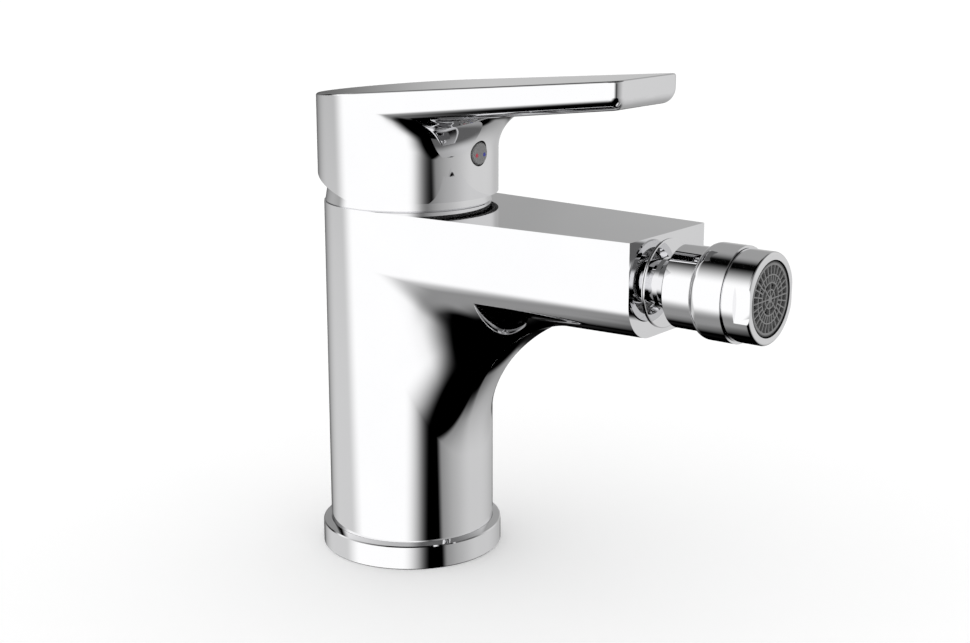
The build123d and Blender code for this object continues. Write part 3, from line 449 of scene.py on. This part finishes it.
def turned_normals(corners, axis, centre):
    """Normals of a turned piece, made the same all round each of its rings."""
    normals = corners.face_normals
    axis = np.array(axis, dtype=float)
    offset = corners.points - np.array(centre, dtype=float)
    along = offset @ axis
    out = offset - along[:, None] * axis
    radius = np.linalg.norm(out, axis=1)
    radial = unit(out)
    share_out = np.sum(normals * radial, axis=1)
    share_along = normals @ axis
    turns = np.arctan2(share_along, share_out)
    ours = (np.hypot(share_out, share_along) > NORMAL_TOLERANCE) & (radius > SMALLEST_RING)
    even = corners.normals.copy()
    rings = {}
    keys = zip(np.round(along / RING_STEP).astype(int), np.round(radius / RING_STEP).astype(int))
    for index, key in enumerate(keys):
        if ours[index]:
            rings.setdefault(key, []).append(index)
    for members in rings.values():
        members = sorted(members, key=lambda index: turns[index])
        group = [members[0]]
        for index in members[1:] + [None]:
            if index is not None and turns[index] - turns[group[-1]] < NORMAL_GAP:
                group.append(index)
                continue
            mean = np.average(turns[group], weights=corners.face_areas[group] + TINY_AREA)
            even[group] = radial[group] * math.cos(mean) + axis * math.sin(mean)
            group = [index]
    return even


class SkinShape:
    """Exact places and normals of a casting's outside on the side where y is positive."""

    def __init__(self, skin):
        self.skin = skin
        self.slope = math.tan(math.radians(skin.tilt))
        turn = math.atan2(skin.half_width, skin.tip)
        self.wall_turn = turn + math.acos(skin.column / math.hypot(skin.tip, skin.half_width))
        self.wall = np.array((math.cos(self.wall_turn), math.sin(self.wall_turn), 0))
        self.up = unit(np.array((-self.slope, 0, 1)))
        out = np.array((math.sin(self.wall_turn), -math.cos(self.wall_turn), 0))
        self.along = unit(out + np.array((0, 0, out[0] * self.slope)))
        foot = self.wall * (skin.column - skin.corner)
        height = skin.underside + foot[0] * self.slope + skin.corner / self.up[2]
        self.edge = foot + np.array((0, 0, height))
        across = np.cross(self.along, self.up)
        if across @ self.wall < 0:
            across = -across
        reach = skin.column + skin.ball
        drop = skin.ball / self.up[2]
        fixed = (self.edge - np.array((0, 0, skin.underside - drop))) @ across
        share = across[0] + across[2] * self.slope
        lean = math.atan2(across[1], share)
        self.flat_turn = lean - math.acos(fixed / (reach * math.hypot(share, across[1])))
        self.reach = reach
        self.drop = drop

    def centres(self, turns):
        """Places of the rolled ball's centre at the given turns about the column."""
        skin = self.skin
        x = self.reach * np.cos(turns)
        y = self.reach * np.sin(turns)
        flat = skin.underside + x * self.slope - self.drop
        out_x = x - self.edge[0]
        out_y = y - self.edge[1]
        run = out_x * self.along[0] + out_y * self.along[1]
        square = 1 - self.along[2] ** 2
        half = -run * self.along[2]
        rest = out_x**2 + out_y**2 - run**2 - (skin.ball + skin.corner) ** 2
        depth = (half + np.sqrt(np.maximum(half**2 - square * rest, 0))) / square
        z = np.where(turns > self.flat_turn, self.edge[2] - depth, flat)
        return np.stack((x, y, z), axis=-1)

    def ball_centres(self, points):
        """The ball's centre that each point near the rolled corner belongs to."""
        last = self.wall_turn - 2 * TURN_STEP
        turns = np.clip(np.arctan2(points[:, 1], points[:, 0]), 0, last)
        grid = np.linspace(0, last, GRID_TURNS)
        places = self.centres(grid)
        for first in range(0, len(points), BLOCK_POINTS):
            block = points[first:first + BLOCK_POINTS]
            gap = np.linalg.norm(block[:, None] - places[None], axis=2)
            turns[first:first + BLOCK_POINTS] = grid[np.argmin(gap, axis=1)]
        for _ in range(REFINE_ROUNDS):
            before, here, after = (
                np.sum((points - self.centres(turns + side * TURN_STEP)) ** 2, axis=1)
                for side in (-1, 0, 1))
            bend = np.maximum(after - 2 * here + before, SMALLEST_BEND)
            shift = np.clip(0.5 * TURN_STEP * (after - before) / bend, -LARGEST_SHIFT, LARGEST_SHIFT)
            turns = np.clip(turns - shift, 0, last)
        return self.centres(turns)

    def candidates(self, points):
        """Each surface's distance from the points and its normals there."""
        skin = self.skin
        radial = points * (1, 1, 0)
        yield np.abs(np.linalg.norm(radial, axis=1) - skin.column), unit(radial)
        yield np.abs(points @ self.wall - skin.column), np.broadcast_to(self.wall, points.shape)
        low = np.abs((points - (0, 0, skin.underside)) @ self.up)
        yield low, np.broadcast_to(-self.up, points.shape)
        top = unit(np.array((-math.tan(math.radians(skin.top_tilt)), 0, 1)))
        yield np.abs((points - (0, 0, skin.top)) @ top), np.broadcast_to(top, points.shape)
        yield np.abs(points[:, 0] - skin.tip), np.broadcast_to((1.0, 0, 0), points.shape)
        beside = points - self.edge
        beside = beside - (beside @ self.along)[:, None] * self.along
        yield np.abs(np.linalg.norm(beside, axis=1) - skin.corner), unit(beside)
        towards = self.ball_centres(points) - points
        yield np.abs(np.linalg.norm(towards, axis=1) - skin.ball), unit(towards)
        if skin.tip_corner:
            x = skin.tip - skin.tip_corner
            y = (skin.column - skin.tip_corner - x * self.wall[0]) / self.wall[1]
            beside = (points - (x, y, 0)) * (1, 1, 0)
            yield np.abs(np.linalg.norm(beside, axis=1) - skin.tip_corner), unit(beside)


def skin_normals(corners, skin):
    """Exact normals wherever a corner lies on one of the skin's surfaces and faces the same way."""
    mirror = np.where(corners.points[:, 1:2] < 0, -1.0, 1.0) * (0, 1, 0) + (1, 0, 1)
    points = corners.points * mirror
    given = corners.normals * mirror
    best = np.full(len(points), NORMAL_TOLERANCE)
    exact = given.copy()
    for gap, there in SkinShape(skin).candidates(points):
        match = np.sum(there * given, axis=1)
        better = (gap < SKIN_TOLERANCE) & (match > best)
        exact[better] = there[better]
        best[better] = match[better]
    return exact * mirror


def polished(name, body, material, normals_of, reshape=None):
    """A copy of a construction piece whose mirror is even, because its normals are exact."""
    data = nodes[name].data.copy()
    data.name = name + "_polished"
    if reshape:
        reshape(data)
    normals = normals_of(corners_of(data))
    data.polygons.foreach_set("use_smooth", [True] * len(data.polygons))
    data.normals_split_custom_set(normals.tolist())
    data.materials.clear()
    data.materials.append(material)
    piece = bpy.data.objects.new(name + "_polished", data)
    bpy.context.scene.collection.objects.link(piece)
    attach(piece, body)
    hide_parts(name)
    return piece


def round_column(corners):
    return turned_normals(corners, (0, 0, 1), (0, 0, 0))


def round_outlet(corners):
    return turned_normals(corners, (1, 0, 0), (0, 0, OUTLET_HEIGHT))


def thin_flange(data):
    """Thins the flange along its axis, which brings its front face nearer to the spout's tip."""
    places = read(data.vertices, "co", np.float32, 3)
    places[:, 0] = np.interp(places[:, 0] / MM, FLANGE_BEFORE, FLANGE_AFTER) * MM
    data.vertices.foreach_set("co", places.ravel())
    data.update()


def paint_hollow_shade(lever):
    """The lever's inside and the foot of its cap get the near-black casting material, which is painted
    shade.
    """
    lever.data.materials.append(hollow_shade_casting("hollow_shade_casting"))
    for face in lever.data.polygons:
        x, y, z = face.center / MM
        inside = math.hypot(x, y) < LEVER_HOLLOW_RADIUS and z < LEVER_HOLLOW_TOP
        foot = face.normal.z < FACES_DOWN and math.hypot(x, y) < LEVER_SKIN.column and z < LEVER_HOLLOW_TOP
        if inside or foot:
            face.material_index = 1


def polish_all():
    """Puts an evenly polished copy in the place of each chrome piece."""
    polished("body", "root", chrome("chrome_body"),
             lambda corners: skin_normals(corners, BODY_SKIN))
    lever = polished("lever", "handle", chrome("chrome_lever"),
                     lambda corners: skin_normals(corners, LEVER_SKIN))
    paint_hollow_shade(lever)
    polished("base_ring", "root", chrome("chrome_base_ring"), round_column)
    polished("dome_collar", "root", chrome("chrome_collar"), round_column)
    polished("ball_stem", "root", chrome("chrome_ball_stem"), round_outlet, thin_flange)
    polished("swivel_nut", "outlet", chrome("chrome_swivel_nut"), round_outlet)
    polished("swivel_sleeve", "outlet", chrome("chrome_swivel_sleeve"), round_outlet)
    polished("aerator_housing", "outlet", chrome("chrome_aerator"), round_outlet)


def dress_all():
    """Gives every piece that isn't chrome its material."""
    dress(rubber("gasket_rubber"), "base_gasket")
    dress(rubber("seal_rubber"), "port_seals", "disc_seals", "rotor_seal", "outlet_seal", "aerator_washer")
    brass = (0.60, 0.42, 0.17, 1), (0.72, 0.54, 0.26, 1)
    dress(turned_metal("brass", *brass, (0.05, 0.05, 1)), "cartridge_nut")
    dress(turned_metal("steel", grey(0.42), grey(0.6), (1, 1, 0.1)), "stem", "stem_pin", "grub_screw")
    white = grey(0.78), grey(0.86)
    dress(moulded_plastic("cartridge_plastic", *white), "cartridge_housing", "cartridge_base")
    dress(moulded_plastic("carrier_plastic", grey(0.24), grey(0.3)), "disc_carrier", "cartridge_rotor")
    dress(moulded_plastic("seat_plastic", grey(0.62), grey(0.7)), "rear_seat_ring", "front_seat_ring")
    dress(ceramic("ceramic"), "fixed_disc", "moving_disc")
    dress(moulded_plastic("plug_grey", grey(0.24), grey(0.3), 0.35), "indicator_plug")
    dress(enamel("red_enamel", (0.55, 0.03, 0.06, 1), (0.75, 0.05, 0.1, 1)), "hot_mark")
    dress(enamel("blue_enamel", (0.03, 0.04, 0.35, 1), (0.06, 0.07, 0.5, 1)), "cold_mark")
    dress(insert_plastic("insert_plastic"), "aerator_insert", "flow_plate")
    dress(wire_mesh("screen_wire"), "aerator_screens")


bpy.context.scene.view_settings.view_transform = "Standard"
make_camera()
make_studio()
make_floor()
dress_all()
polish_all()
